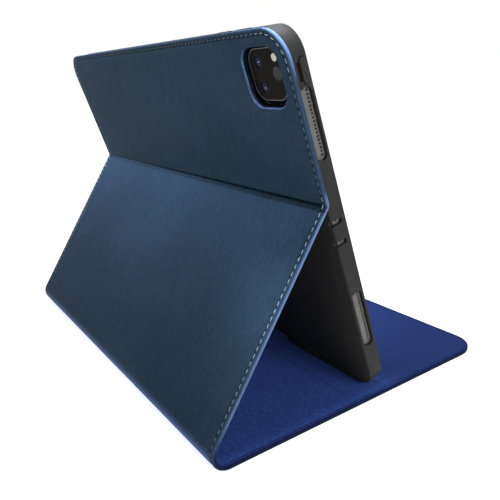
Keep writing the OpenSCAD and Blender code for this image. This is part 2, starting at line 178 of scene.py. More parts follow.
# ------------------------------- meshes
def mesh_object(name, points, faces, materials, tags=None, uv=None, edge=None):
    me = bpy.data.meshes.new(name)
    me.from_pydata([tuple(p) for p in points], [], [tuple(f) for f in faces])
    for m in materials:
        me.materials.append(m)
    if tags is not None:
        me.polygons.foreach_set("material_index", np.array(tags, np.int32))
    me.polygons.foreach_set("use_smooth", np.ones(len(me.polygons), bool))
    index = np.zeros(len(me.loops), np.int32)
    me.loops.foreach_get("vertex_index", index)
    for label, values in (("flat", uv), ("edge", edge)):
        if values is not None:
            layer = me.uv_layers.new(name=label)
            layer.data.foreach_set("uv", (np.asarray(values)[index] * MM).astype(np.float32).ravel())
    me.update()
    ob = bpy.data.objects.new(name, me)
    bpy.context.scene.collection.objects.link(ob)
    return ob


def turn_outwards(ob):
    bm = bmesh.new()
    bm.from_mesh(ob.data)
    bmesh.ops.recalc_face_normals(bm, faces=bm.faces)
    bm.to_mesh(ob.data)
    bm.free()


def vertex_normals(points, faces):
    """Area-weighted vertex normals of a quad and triangle mesh."""
    n = np.zeros_like(points)
    f4 = np.array([f if len(f) == 4 else (*f, f[2]) for f in faces])
    a, b, c, d = (points[f4[:, i]] for i in range(4))
    fn = np.cross(c - a, d - b) + np.where((f4[:, 2] == f4[:, 3])[:, None], np.cross(b - a, c - a), 0)
    for i in range(4):
        np.add.at(n, f4[:, i], fn)
    return n / np.maximum(np.linalg.norm(n, axis=1, keepdims=True), 1e-12)


def stations(a, b, step):
    return list(np.linspace(a, b, max(1, round((b - a) / step)) + 1))


def merged(*lists):
    out = []
    for v in sorted(v for part in lists for v in part):
        if not out or v - out[-1] > 0.12:
            out.append(float(v))
    return np.array(out)


ROWS = merged(
    stations(R_COVER, BORDERS[1], 3.2),
    stations(BORDERS[1], BORDERS[2], 0.85),
    stations(BORDERS[2], BORDERS[3], 0.85),
    stations(BORDERS[3], BORDERS[4], 3),
    stations(BORDERS[4], S_FOLD - 4.4, 0.6),
    stations(S_FOLD - 4.4, S_FOLD + 1.4, 0.2),
    stations(S_FOLD + 1.4, BORDERS[5], 0.65),
    stations(BORDERS[5], S_TOP - R_COVER, 3))
COLUMNS = np.array(stations(-HALF + R_COVER, HALF - R_COVER, 3))
CORNER_STEPS = 14

# distance from the outline, depth below the skin, and 1 on the painted edge
SKIN_BAND = [
    (12, 0, 0), (9, 0, 0), (7.4, 0, 0), (6.0, 0, 0), (5.0, 0.01, 0), (4.3, 0.05, 0), (3.7, 0.11, 0),
    (3.2, 0.18, 0), (2.85, 0.25, 0), (2.55, 0.32, 0), (2.3, 0.41, 0), (2.1, 0.44, 0), (1.9, 0.40, 0),
    (1.65, 0.26, 0), (1.35, 0.14, 0), (1.0, 0.07, 0), (0.65, 0.05, 0), (0.38, 0.09, 0), (0.18, 0.2, 0),
    (0.05, 0.4, 0), (0, 0.7, 0), (0, 1.05, 0), (0.03, 1.15, 1), (0, 1.3, 1), (0, 1.6, 1), (0.04, 1.9, 1),
    (0.14, 2.12, 1), (0.3, 2.26, 1), (0.52, 2.3, 1), (0.75, 2.2, 0), (1.1, 1.9, 0)]
LINING_BAND = [
    (12, 2.4, 0), (9, 2.4, 0), (7.4, 2.4, 0), (6.2, 2.4, 0), (5.4, 2.39, 0), (4.6, 2.36, 0), (3.9, 2.3, 0),
    (3.3, 2.23, 0), (2.8, 2.16, 0), (2.5, 2.08, 0), (2.25, 2.0, 0), (2.1, 1.97, 0), (1.95, 2.0, 0),
    (1.75, 2.1, 0), (1.5, 2.2, 0), (1.25, 2.28, 0), (1.0, 2.32, 0), (0.8, 2.32, 0), (0.65, 2.28, 0),
    (0.56, 2.15, 0)]


def build_sheet(band, base, closed, shape):
    """Flat mesh of the whole cover: a grid with a band swept round its outline.
    Returns x, s, h, distance, faces and one tag for each face. shape adds to h."""
    rows = ROWS if closed else ROWS[ROWS <= BORDERS[5] + 1e-6]
    nc, nr = len(COLUMNS), len(rows)
    pts = [(x, s, base, R_COVER) for s in rows for x in COLUMNS]
    cells = [j * nc + i for j in range(nr - 1) for i in range(nc - 1)]
    faces = [(v, v + 1, v + nc + 1, v + nc) for v in cells]
    tags = [0] * len(faces)
    rays = []                            # first vertex, centre, outward direction
    left, right, top, low = -HALF + R_COVER, HALF - R_COVER, S_TOP - R_COVER, R_COVER

    def corner(vertex, x, s, a0):
        for k in range(1, CORNER_STEPS):
            a = math.radians(a0 - 90 * k / CORNER_STEPS)
            rays.append((vertex, x, s, math.cos(a), math.sin(a)))
    rays += [(j * nc, left, s, -1, 0) for j, s in enumerate(rows)]
    if closed:
        corner((nr - 1) * nc, left, top, 180)
        rays += [((nr - 1) * nc + i, x, top, 0, 1) for i, x in enumerate(COLUMNS)]
        corner(nr * nc - 1, right, top, 90)
    split = len(rays)
    rays += [(j * nc + nc - 1, right, s, 1, 0) for j, s in reversed(list(enumerate(rows)))]
    corner(nc - 1, right, low, 0)
    rays += [(i, x, low, 0, -1) for i, x in reversed(list(enumerate(COLUMNS)))]
    corner(0, left, low, 270)
    start = len(pts)
    k = len(band)
    for v, x, s, ox, oy in rays:
        pts += [(x + ox * (R_COVER - d), s + oy * (R_COVER - d), h, d) for d, h, _ in band]
    count = len(rays)
    for j in range(count):
        n = (j + 1) % count
        if not closed and n == split:
            continue
        a0, b0 = rays[j][0], rays[n][0]
        a, b = start + j * k, start + n * k
        faces.append((a0, b0, b, a) if a0 != b0 else (a0, b, a))
        tags.append(0)
        for i in range(k - 1):
            faces.append((a + i, b + i, b + i + 1, a + i + 1))
            tags.append(1 if band[i][2] and band[i + 1][2] else 0)
    x, s, h, d = np.array(pts).T
    return x, s, h + shape(x, s, d, h), d, faces, np.array(tags)


def skin_shape(x, s, d, h):
    """Depth added to the outer skin: soft unevenness, and the crease at the back fold."""
    rise = smooth(4.5, 12, d)
    u = 0.16 * wave(x, s, 60, 3.1) + 0.07 * wave(x, s, 22, 7.7) + 0.022 * wave(x, s, 8, 1.9)
    u *= rise
    flat = s < S_BEND1
    u[flat] = np.abs(u[flat]) * 0.5
    edge = 0.3 + 0.7 * smooth(0.8, 5.5, d)
    top = smooth(1.6, 0.8, h)            # the inner side of the rim keeps its shape
    deep = 0.16 + 0.84 * smooth(100, -60, x)
    t = s - S_FOLD
    wobble = 0.25 * wave(x, s * 0, 19, 5.3) + 0.1 * wave(x, s * 0, 6, 2.3)
    crease = 1.5 * bell(t, 0.1 * wobble, 0.42)
    crease += 0.16 * smooth(-3.0 + wobble, -1.9 + wobble, t) * smooth(0.5, -0.2, t)
    crease *= deep
    crease += 0.3 * bell(t, -2.6, 0.3) * smooth(-20, -110, x)
    crease -= 0.22 * bell(t, -1.4, 0.8) * smooth(20, -110, x) + 0.05 * bell(t, -3.6 + wobble, 1.0)
    fine = 0.05 * wave(x, s * 2.6, 2.4, 9.2) * bell(t, -1.5, 1.3) * deep
    return u + (crease + fine) * edge * top


def lining_shape(x, s, d, h):
    u = (0.10 * wave(x, s, 48, 12.4) + 0.05 * wave(x, s, 16, 4.4)) * smooth(4.5, 12, d)
    u -= 0.1
    return np.where(d > 2, np.minimum(u, 0), 0) * smooth(2, 6, d)


# ------------------------------- material tools
def new_material(name):
    """A material with one shader, and the tools that fill it."""
    m = bpy.data.materials.new(name)
    m.use_nodes = True
    nt = m.node_tree
    for n in list(nt.nodes):
        nt.nodes.remove(n)
    out = nt.nodes.new("ShaderNodeOutputMaterial")
    bsdf = nt.nodes.new("ShaderNodeBsdfPrincipled")
    nt.links.new(bsdf.outputs[0], out.inputs[0])
    return m, Nodes(nt), bsdf


def put(socket, value):
    if isinstance(value, bpy.types.NodeSocket):
        socket.id_data.links.new(value, socket)
    else:
        socket.default_value = value


def surface(bsdf, colour, roughness, normal, specular):
    put(bsdf.inputs["Base Color"], colour)
    put(bsdf.inputs["Roughness"], roughness)
    put(bsdf.inputs["Normal"], normal)
    bsdf.inputs["Specular IOR Level"].default_value = specular


def srgb(r, g, b):
    """Display values from 0 to 255 as a linear colour with alpha."""
    parts = (v / 255 for v in (r, g, b))
    return tuple(v / 12.92 if v <= 0.04045 else ((v + 0.055) / 1.055) ** 2.4 for v in parts) + (1.0,)


def shade(colour, factor):
    return srgb(*(c * factor for c in colour))


class Nodes:
    """Short calls for the nodes that the materials use."""

    def __init__(self, nt):
        self.nt = nt

    def add(self, kind, inputs=None, **props):
        n = self.nt.nodes.new(kind)
        for k, v in props.items():
            setattr(n, k, v)
        for k, v in (inputs or {}).items():
            put(n.inputs[k], v)
        return n

    def coords(self, kind="Object"):
        return self.add("ShaderNodeTexCoord").outputs[kind]

    def uv(self, layer="flat"):
        return self.add("ShaderNodeUVMap", uv_map=layer).outputs[0]

    def scale(self, vector, scale, rotation=(0, 0, 0)):
        inputs = {"Vector": vector, "Scale": scale, "Rotation": rotation}
        return self.add("ShaderNodeMapping", inputs).outputs[0]

    def noise(self, vector, scale, detail=3.0, rough=0.5, warp=0.0):
        inputs = {"Vector": vector, "Scale": scale, "Detail": detail, "Roughness": rough, "Distortion": warp}
        return self.add("ShaderNodeTexNoise", inputs).outputs["Fac"]

    def cells(self, vector, scale, feature):
        inputs = {"Vector": vector, "Scale": scale}
        return self.add("ShaderNodeTexVoronoi", inputs, feature=feature).outputs["Distance"]

    def math(self, op, a, b=0.0):
        return self.add("ShaderNodeMath", {0: a, 1: b}, operation=op).outputs[0]

    def mul(self, a, b):
        return self.math("MULTIPLY", a, b)

    def plus(self, a, b):
        return self.math("ADD", a, b)

    def blend(self, a, b, share):
        """a and b added, with this share of b."""
        return self.plus(self.mul(a, 1 - share), self.mul(b, share))

    def ramp(self, value, lo, hi, a=0.0, b=1.0):
        inputs = {"Value": value, "From Min": lo, "From Max": hi, "To Min": a, "To Max": b}
        return self.add("ShaderNodeMapRange", inputs, interpolation_type="SMOOTHSTEP").outputs[0]

    def step(self, value, lo, hi, a=0.0, b=1.0):
        """A ramp with its limits in millimetres."""
        return self.ramp(value, lo * MM, hi * MM, a, b)

    def band(self, value, low, rise, fall, high):
        """1 from rise to fall, and 0 below low and above high, in millimetres."""
        return self.mul(self.step(value, low, rise), self.step(value, high, fall))

    def mix(self, factor, a, b):
        n = self.add("ShaderNodeMix", data_type="RGBA", blend_type="MIX")
        put(n.inputs[0], factor)
        put(n.inputs[6], a)
        put(n.inputs[7], b)
        return n.outputs[2]

    def split(self, vector):
        return self.add("ShaderNodeSeparateXYZ", {0: vector}).outputs

    def bump(self, height, strength, distance, normal=None):
        n = self.add("ShaderNodeBump", {"Height": height, "Strength": strength, "Distance": distance})
        if normal is not None:
            put(n.inputs["Normal"], normal)
        return n.outputs[0]

    def painted_edge_highlight(self, x, s):
        """Mask of the painted highlight on the edge's shoulder: the kickstand's sides and the top corners
        are brightest.
        """
        side = self.step(self.math("ABSOLUTE", x), HALF - 22, HALF - 9, 0.1, 1)
        kick = self.mul(self.step(s, S_MID + 2, S_BEND1 + 16), self.step(s, S_FOLD + 8, S_FOLD - 2, 0.14, 1))
        kick = self.mul(kick, self.step(s, S_BEND1 + 8, S_BEND1 + 75, 0.5, 1))
        corner = self.step(s, S_TOP - 24, S_TOP - 11)
        return self.mul(side, self.math("MAXIMUM", kick, corner))


# ------------------------------- materials
# Edge colours: a painted highlight, painted shade for the front cover, the paint's plain colour, and painted
# shade for the back panel.
EDGE_PAINTED_HIGHLIGHT, EDGE_FRONT_SHADE, EDGE_PLAIN, EDGE_BACK_SHADE = (80, 103, 140), (9, 14, 42), (40, 52, 66), (22, 33, 48)
# Leather tones, and a lighter blue that is a painted highlight at the bend.
LEATHER_DARK, LEATHER_LIGHT, LEATHER_BEND_HIGHLIGHT = (33, 49, 63), (38, 56, 73), (84, 116, 186)
LINING_DARK, LINING_LIGHT = (35, 54, 108), (47, 69, 127)
DOCK_LINES = [FOOT[0] - FRONT + 14, FOOT[0] - FRONT - 6]     # the dock strip's two edges show through


def leather_material():
    dark, light = LEATHER_DARK, LEATHER_LIGHT
    m, k, b = new_material("leather")
    uv = k.uv()
    sx, s = k.split(uv)[:2]
    cloud = k.noise(uv, 11, 4, 0.55, 0.4)
    patch = k.noise(uv, 60, 3, 0.6)
    grain = k.cells(uv, 1500, "SMOOTH_F1")
    pores = k.noise(uv, 3600, 2, 0.5)
    crease = k.cells(k.scale(uv, (1, 1.3, 1)), 480, "DISTANCE_TO_EDGE")
    colour = k.mix(k.ramp(k.blend(cloud, patch, 0.25), 0.36, 0.66), srgb(*dark), srgb(*light))
    colour = k.mix(k.ramp(grain, 0.1, 0.6, 0, 0.2), colour, shade(dark, 0.72))
    speck = k.noise(k.scale(uv, (1.6, 0.7, 1), (0, 0, 0.4)), 420, 4, 0.65, 0.8)
    colour = k.mix(k.ramp(speck, 0.45, 0.66, 0, 0.22), colour, shade(light, 1.25))
    colour = k.mix(k.ramp(speck, 0.5, 0.34, 0, 0.22), colour, shade(dark, 0.8))
    # painted shade darkens the sewn groove; the rounded shoulder outside it gets a painted highlight above
    # and painted shade beneath it on the front cover
    depth, drop = k.split(k.uv("edge"))[:2]
    groove_shade = k.band(depth, 1.3, 1.8, 2.3, 3.0)
    colour = k.mix(k.mul(groove_shade, 0.8), colour, srgb(14, 26, 34))
    side = k.mul(k.step(drop, 0.1, 0.9), k.step(depth, 1.0, 0.3))
    colour = k.mix(k.mul(k.mul(side, k.painted_edge_highlight(sx, s)), 0.6), colour, srgb(*EDGE_PAINTED_HIGHLIGHT))
    front_shoulder_shade = k.mul(side, k.step(s, S_MID + 5, S_MID - 3))
    colour = k.mix(k.mul(front_shoulder_shade, 0.9), colour, srgb(10, 15, 36))
    # painted highlight: the leather is a lighter blue at the bend
    bend_highlight = k.mul(k.band(s, S_BEND0 - 6, S_BEND0 + 2, S_MID - 2, S_MID + 8), k.step(depth, 1.5, 4))
    colour = k.mix(k.mul(bend_highlight, 0.85), colour, srgb(*LEATHER_BEND_HIGHLIGHT))
    # painted shade in a band with fine wrinkles just under the back fold, darker towards the near side
    near = k.band(s, S_FOLD - 3.4, S_FOLD - 2.1, S_FOLD - 0.4, S_FOLD + 0.6)
    folds = k.noise(k.scale(uv, (1, 2.6, 1)), 420, 3, 0.6, 0.6)
    fold_shade = k.mul(k.ramp(folds, 0.36, 0.62, 0.5, 1), k.step(sx, 110, -90, 0.2, 1))
    colour = k.mix(k.mul(near, fold_shade), colour, srgb(15, 28, 34))
    # crackle on the kickstand's near side
    worn = k.mul(k.step(sx, 0, -100), k.band(s, S_FOLD - 80, S_FOLD - 35, S_FOLD - 9, S_FOLD - 3))
    crackle = k.noise(k.scale(uv, (1.5, 0.6, 1), (0, 0, -0.5)), 520, 4, 0.6, 1.6)
    colour = k.mix(k.mul(worn, k.ramp(crackle, 0.5, 0.64, 0, 0.22)), colour, shade(light, 1.3))
    colour = k.mix(k.mul(worn, k.ramp(crackle, 0.5, 0.36, 0, 0.22)), colour, shade(dark, 0.7))
    height = k.plus(k.mul(grain, -0.6), k.mul(pores, 0.25))
    height = k.plus(height, k.mul(k.ramp(crease, 0, 0.12), 0.18))
    normal = k.bump(height, 0.25, 0.00014)
    # long shallow wrinkles run up the panels
    veins = k.noise(k.scale(uv, (1, 0.7, 1), (0, 0, 0.5)), 70, 5, 0.6, 1.2)
    normal = k.bump(veins, 0.26, 0.0014, normal)
    normal = k.bump(k.mul(folds, near), 0.5, 0.0006, normal)
    normal = k.bump(k.mul(crackle, worn), 0.5, 0.0008, normal)
    surface(b, colour, k.ramp(k.blend(patch, grain, 0.5), 0.2, 0.7, 0.42, 0.55), normal, 0.018)
    b.inputs["IOR"].default_value = 1.45
    return m


def edge_paint_material():
    """Blue edge paint with a painted highlight along the kickstand's sides and the top corners, and painted
    shade that makes it dark along the front cover and nearly the leather's colour along the top.
    """
    m, k, b = new_material("edge_paint")
    uv = k.uv()
    sx, s = k.split(uv)[:2]
    wear = k.noise(uv, 260, 4, 0.65)
    fibre = k.noise(k.scale(k.coords(), (1, 1, 6)), 900, 3, 0.6)
    worn = k.ramp(wear, 0.35, 0.68)
    edge_highlight_paint = k.mix(worn, srgb(*EDGE_PAINTED_HIGHLIGHT), shade(EDGE_PAINTED_HIGHLIGHT, 1.12))
    front = k.mix(worn, srgb(*EDGE_FRONT_SHADE), shade(EDGE_FRONT_SHADE, 1.15))
    light = k.painted_edge_highlight(sx, s)
    # painted shade along the front cover and the back panel
    paint_and_shade = k.mix(k.step(s, S_BEND1 - 2, S_BEND1 + 14), front, srgb(*EDGE_PLAIN))
    paint_and_shade = k.mix(k.step(s, S_FOLD - 4, S_FOLD + 12), paint_and_shade, srgb(*EDGE_BACK_SHADE))
    colour = k.mix(light, paint_and_shade, edge_highlight_paint)
    # painted highlight on the fibres where the edge is lit
    colour = k.mix(k.mul(k.ramp(fibre, 0.5, 0.75, 0, 0.25), light), colour, srgb(96, 124, 170))
    normal = k.bump(k.plus(wear, k.mul(fibre, 0.4)), 0.35, 0.0001)
    surface(b, colour, k.ramp(wear, 0.3, 0.7, 0.38, 0.55), normal, 0.04)
    return m


def window_rim_material():
    """The window's turned edge: a painted highlight makes it light blue below and on the inner side, and it
    is darker above.
    """
    m, k, b = new_material("window_rim")
    x, u = k.split(k.uv("edge"))[:2]
    wear = k.noise(k.coords(), 420, 4, 0.65)
    rim_highlight = k.mix(k.ramp(wear, 0.35, 0.68), srgb(62, 82, 118), srgb(88, 110, 150))
    inner = k.mul(k.step(x, -2, 8), k.step(u, 13.5, 7))
    light = k.math("MAXIMUM", k.step(u, 6, -1), inner)
    colour = k.mix(light, srgb(34, 54, 72), rim_highlight)
    surface(b, colour, k.ramp(wear, 0.3, 0.7, 0.4, 0.55), k.bump(wear, 0.3, 0.0001), 0.08)
    return m


def lining_material():
    dark, light = LINING_DARK, LINING_LIGHT
    m, k, b = new_material("microfibre_lining")
    uv = k.uv()
    cloud = k.noise(uv, 22, 4, 0.6, 0.6)
    nap = k.noise(k.scale(uv, (1, 1.7, 1)), 900, 3, 0.65, 0.3)
    fibre = k.noise(k.scale(uv, (1, 2.4, 1)), 4200, 2, 0.6)
    colour = k.mix(k.ramp(k.blend(cloud, nap, 0.45), 0.35, 0.68), srgb(*dark), srgb(*light))
    colour = k.mix(k.ramp(fibre, 0.42, 0.72, 0, 0.3), colour, shade(light, 1.25))
    fleck = k.noise(uv, 520, 4, 0.7)
    colour = k.mix(k.ramp(fleck, 0.5, 0.68, 0, 0.35), colour, shade(light, 1.4))
    colour = k.mix(k.ramp(fleck, 0.5, 0.34, 0, 0.35), colour, shade(dark, 0.75))
    # painted highlight in a band along the sewn edge, on the front cover and the bend, speckled by the nap
    sx, s = k.split(uv)[:2]
    across = k.math("ABSOLUTE", sx)
    lining_edge_highlight = k.band(across, HALF - 8.5, HALF - 5, HALF - 3.2, HALF - 2.3)
    lining_edge_highlight = k.mul(lining_edge_highlight, k.step(s, S_BEND1 + 4, S_BEND0 - 2))
    colour = k.mix(k.mul(lining_edge_highlight, k.ramp(nap, 0.4, 0.66, 0, 0.3)), colour, shade(light, 1.4))
    # painted shade darkens the part in front of the screen, and the lines along the dock strip are darker
    # too
    lining_front_shade = k.step(s, DOCK_LINES[1] + 5, DOCK_LINES[1] - 12, 0, 0.68)
    colour = k.mix(lining_front_shade, colour, shade(dark, 0.58))
    lines = k.plus(*(k.band(s, at - 1.1, at, at + 0.1, at + 0.5) for at in DOCK_LINES))
    lines = k.mul(lines, k.ramp(fleck, 0.35, 0.55, 0.4, 1))
    lines = k.mul(lines, k.step(across, HALF - 7.9, HALF - 8.9))
    colour = k.mix(k.mul(lines, 0.45), colour, shade(dark, 0.6))
    normal = k.bump(k.blend(fibre, nap, 0.5), 0.35, 0.0002)
    normal = k.bump(k.mul(lines, -1), 0.5, 0.0004, normal)
    surface(b, colour, k.ramp(nap, 0.3, 0.7, 0.72, 0.9), normal, 0.05)
    b.inputs["Sheen Weight"].default_value = 0.15
    b.inputs["Sheen Roughness"].default_value = 0.5
    b.inputs["Sheen Tint"].default_value = srgb(70, 100, 200)
    return m


def thread_material(name, dark, light, painted_shade_colour=None):
    """Twisted thread. The last colour, where given, is painted shade that the thread takes away from the
    painted edge highlight.
    """
    m, k, b = new_material(name)
    sx, s = k.split(k.uv())[:2]
    twist = k.math("SINE", k.mul(k.plus(sx, s), 9000))
    fuzz = k.noise(k.coords(), 5200, 3, 0.6)
    tone = k.blend(k.ramp(twist, -1, 1), fuzz, 0.5)
    colour = k.mix(k.ramp(tone, 0.2, 0.8), srgb(*dark), srgb(*light))
    if painted_shade_colour:
        shadow = k.math("SUBTRACT", 0.85, k.mul(k.painted_edge_highlight(sx, s), 0.85))
        colour = k.mix(shadow, colour, srgb(*painted_shade_colour))
    surface(b, colour, k.ramp(fuzz, 0.3, 0.7, 0.4, 0.6), k.bump(tone, 0.5, 0.00008), 0.1)
    return m


def moulded_material(name, dark, light, rough=(0.45, 0.6), grain=2600, strength=0.18, spec=0.4,
                     metal=0.0, back=None):
    """Moulded rubber, plastic or blasted metal: fine grain, slow colour change and light wear.
    back is a painted light colour for the faces that look away from the screen."""
    m, k, b = new_material(name)
    p = k.coords()
    cloud = k.noise(p, 18, 3, 0.55)
    smear = k.noise(k.scale(p, (1, 3, 3)), 90, 4, 0.6)
    fine = k.noise(p, grain, 2, 0.6)
    tone = k.ramp(k.blend(cloud, smear, 0.5), 0.35, 0.66)
    colour = k.mix(tone, srgb(*dark), srgb(*light))
    colour = k.mix(k.ramp(fine, 0.35, 0.7, 0, 0.2), colour, shade(dark, 0.8))
    if back:
        # painted light on the faces that look away from the screen
        _, ny, nz = k.split(k.coords("Normal"))
        painted_back_light = k.plus(k.mul(ny, -N_T[0]), k.mul(nz, -N_T[1]))
        colour = k.mix(k.ramp(painted_back_light, 0.7, 0.95), colour, k.mix(tone, shade(back, 0.9), srgb(*back)))
    roughness = k.ramp(k.blend(smear, fine, 0.3), 0.3, 0.7, *rough)
    surface(b, colour, roughness, k.bump(fine, strength, 0.00008), spec)
    b.inputs["Metallic"].default_value = metal
    return m


leather = leather_material()
edge_paint = edge_paint_material()
lining = lining_material()
window_rim = window_rim_material()
# the thread's last colour is painted shade away from the painted edge highlight
thread = thread_material("thread", (124, 146, 162), (204, 222, 228), (52, 76, 92))
inner_thread = thread_material("inner_thread", (10, 17, 44), (18, 30, 66))
# the needle holes' colour is painted shade
needle_hole_shade = thread_material("needle_hole_shade", (8, 12, 20), (16, 22, 34))
# painted shade: the window's inner wall and the sleeve behind it are dark teal
window_wall_shade = moulded_material("window_wall_shade", (10, 24, 32), (15, 30, 40), (0.45, 0.6), 1800, 0.3, 0.03)
# the tray's back faces are lighter with painted light
rubber = moulded_material("tray_rubber", (33, 33, 33), (40, 40, 39), (0.5, 0.68), 3000, 0.22, 0.12,
                          back=(47, 45, 41))


# ------------------------------- cover pieces
def split_sheet(sheet, label, materials, limit):
    """Cuts the flat mesh into its regions, each with the whole sheet's shading."""
    x, s, h, d, faces, tags = sheet
    points = on_skin(x, s, h)
    normals = vertex_normals(points, faces)
    middle = np.array([s[list(f)].mean() for f in faces])
    middle = np.maximum(middle, 0)
    made = {}
    for region, start, end in zip(REGIONS, BORDERS, BORDERS[1:]):
        if start >= limit:
            break
        chosen = [j for j in range(len(faces)) if start <= middle[j] < end]
        used = sorted({v for j in chosen for v in faces[j]})
        index = {v: n for n, v in enumerate(used)}
        own = [[index[v] for v in faces[j]] for j in chosen]
        flat, edge = np.stack([x[used], s[used]], -1), np.stack([d[used], h[used]], -1)
        ob = mesh_object(f"{region}_{label}", points[used], own, materials, tags[chosen], flat, edge)
        ob.data.normals_split_custom_set_from_vertices([tuple(n) for n in normals[used]])
        made[region] = ob
    return made


def fold_ends(s0, s1, direction):
    """The two points between which a fold piece turns: whole borders keep to their bodies."""
    out = []
    for s, pick in ((s0, max), (s1, min)):
        p, n = skin_path(np.array([s]))
        out.append(pick(float((p[0] + n[0] * h) @ direction) for h in (-0.6, PANEL + 0.1)))
    return [Vector((0, *(direction * t * MM))) for t in out]


SPINE = (B - A) / np.linalg.norm(B - A)
ACROSS = (D_K + D_T) / np.linalg.norm(D_K + D_T)
BENDS = {
    "bend_front": ("front_cover", "spine", *fold_ends(BORDERS[1], BORDERS[2], SPINE)),
    "bend_rear": ("spine", "kickstand", *fold_ends(BORDERS[2], BORDERS[3], SPINE)),
    "fold": ("kickstand", "tray", *fold_ends(BORDERS[4], BORDERS[5], ACROSS)),
}
RIDES = {"front": "front_cover", "kickstand": "kickstand", "back": "tray"}


def settle(ob, region, nodes=()):
    if region in RIDES:
        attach(ob, RIDES[region])
    else:
        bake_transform(ob)
    if nodes:
        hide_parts(*nodes)
    return ob


def cut(ob, cutter):
    """Boolean difference, applied; the cutter is removed."""
    mod = ob.modifiers.new("cut", "BOOLEAN")
    mod.operation = "DIFFERENCE"
    mod.object = cutter
    mod.solver = "EXACT"
    mod.material_mode = "TRANSFER"
    whole = ob.evaluated_get(bpy.context.evaluated_depsgraph_get())
    me = bpy.data.meshes.new_from_object(whole)
    ob.modifiers.remove(mod)
    old = ob.data
    ob.data = me
    bpy.data.meshes.remove(old)
    bpy.data.objects.remove(cutter)


def rounded_ring(half_w, half_h, r, steps=12):
    """Corner points of a rounded rectangle round the origin, anticlockwise."""
    out = []
    for cx, cy, a0 in ((1, 1, 0), (-1, 1, 90), (-1, -1, 180), (1, -1, 270)):
        for i in range(steps + 1):
            a = math.radians(a0 + 90 * i / steps)
            out.append((cx * (half_w - r) + r * math.cos(a), cy * (half_h - r) + r * math.sin(a)))
    return np.array(out)


def tube_faces(count, sides, tags):
    """Faces between rings of points, with one tag for each face."""
    faces, tag = [], []
    for j in range(count - 1):
        for i in range(sides):
            a, b = j * sides + i, j * sides + (i + 1) % sides
            faces.append((a, b, b + sides, a + sides))
            tag.append(tags[j])
    return faces, tag


def ring_caps(count, sides):
    return [tuple(reversed(range(sides))), tuple(range((count - 1) * sides, count * sides))]


def loft(name, rings, materials, tags, caps=True, edge=None):
    """Solid through rings of equally many points (x, u, h) on the back panel."""
    flat = np.array([p for ring in rings for p in ring], float)
    sides = len(rings[0])
    faces, tag = tube_faces(len(rings), sides, tags)
    if caps:
        faces += ring_caps(len(rings), sides)
        tag += [tags[0], tags[-1]]
    edge = None if edge is None else flat[:, :2] - edge
    ob = mesh_object(name, on_back(*flat.T), faces, materials, tag, edge=edge)
    turn_outwards(ob)
    return ob


skin = build_sheet(SKIN_BAND, 0.0, True, skin_shape)
skins = split_sheet(skin, "leather_skin", [leather, edge_paint], S_TOP)
lined = build_sheet(LINING_BAND, PANEL, False, lining_shape)
linings = split_sheet(lined, "lining_cloth", [lining], BORDERS[5])

# ------------------------------- the camera window
CAMERA = (-108.7, 164.0)
WINDOW, WINDOW_R = 12.8, 7.5
# how far outside the window, and how deep
WINDOW_EDGE = [
    (0.6, -1.0), (0.6, -0.3), (0.42, -0.03), (0.28, 0.05), (0.15, 0.15), (0.04, 0.3), (-0.04, 0.5),
    (-0.1, 0.8), (-0.12, 1.2), (-0.12, 3.4)]
SLEEVE = [(-0.15, 1.8), (-0.15, 4.1), (-0.02, 4.1), (-0.02, 1.8), (-0.15, 1.8)]


def window_rings(profile):
    """Rings round the camera window for a profile of (growth, depth)."""
    return [[(CAMERA[0] + x, CAMERA[1] + u, h)
             for x, u in rounded_ring(WINDOW + grow, WINDOW + grow, WINDOW_R + grow)]
            for grow, h in profile]


def close_back(ob):
    """Makes the open back skin a solid with a flat inner face."""
    bm = bmesh.new()
    bm.from_mesh(ob.data)
    edges = [e for e in bm.edges if len(e.link_faces) == 1]
    bmesh.ops.holes_fill(bm, edges=edges, sides=0)
    bmesh.ops.recalc_face_normals(bm, faces=bm.faces)
    bm.to_mesh(ob.data)
    bm.free()


def keep_shading(ob):
    """Gives the cut skin the whole sheet's shading again, except inside the window."""
    reach, same_side = 2.5 * MM, 0.6
    points = on_skin(*skin[:3])
    normals = vertex_normals(points, skin[4])
    tree = KDTree(len(points))
    for i, p in enumerate(points):
        tree.insert(p, i)
    tree.balance()
    me = ob.data
    me.polygons.foreach_set("use_smooth", np.ones(len(me.polygons), bool))
    me.set_sharp_from_angle(angle=math.radians(38))
    own = np.empty(len(me.loops) * 3, np.float32)
    me.corner_normals.foreach_get("vector", own)
    own = own.reshape(-1, 3)
    co = np.array([v.co for v in me.vertices])
    found = [tree.find(c) for c in co]
    off = np.stack([co[:, 0] / MM, (co[:, 1:] / MM - FOOT) @ D_T], -1) - CAMERA
    inside = (np.abs(off) < WINDOW + 0.9).all(axis=1)
    for poly in me.polygons:
        if all(inside[v] for v in poly.vertices):
            continue
        for corner, v in zip(poly.loop_indices, poly.vertices):
            n = normals[found[v][1]]
            if found[v][2] < reach and n @ np.array(poly.normal) > same_side:
                own[corner] = n
    me.normals_split_custom_set([tuple(n) for n in own])


def cut_window(ob):
    close_back(ob)
    ob.data.materials.append(window_rim)
    ob.data.materials.append(window_wall_shade)
    cutter = loft("window_cutter", window_rings(WINDOW_EDGE), [leather, window_rim, window_wall_shade],
                  [0, 0, 1, 1, 1, 1, 1, 2, 2], edge=CAMERA)
    cut(ob, cutter)
    keep_shading(ob)


cut_window(skins["back"])
# a dark sleeve of painted shade lines the hole behind the window
shade_sleeve = loft("window_shade_sleeve", window_rings(SLEEVE), [window_wall_shade], [0] * 4, caps=False)
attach(shade_sleeve, "tray")

# ------------------------------- stitching
PITCH, STITCH, INSET = 3.5, 2.75, 2.0
SEWN_DEPTH, INNER_DEPTH = 0.44, 1.97     # the bottoms of the two grooves
CAD_PANELS = {"front": "front_cover", "bend_front": "spine", "kickstand": "kickstand", "back": "back_panel"}


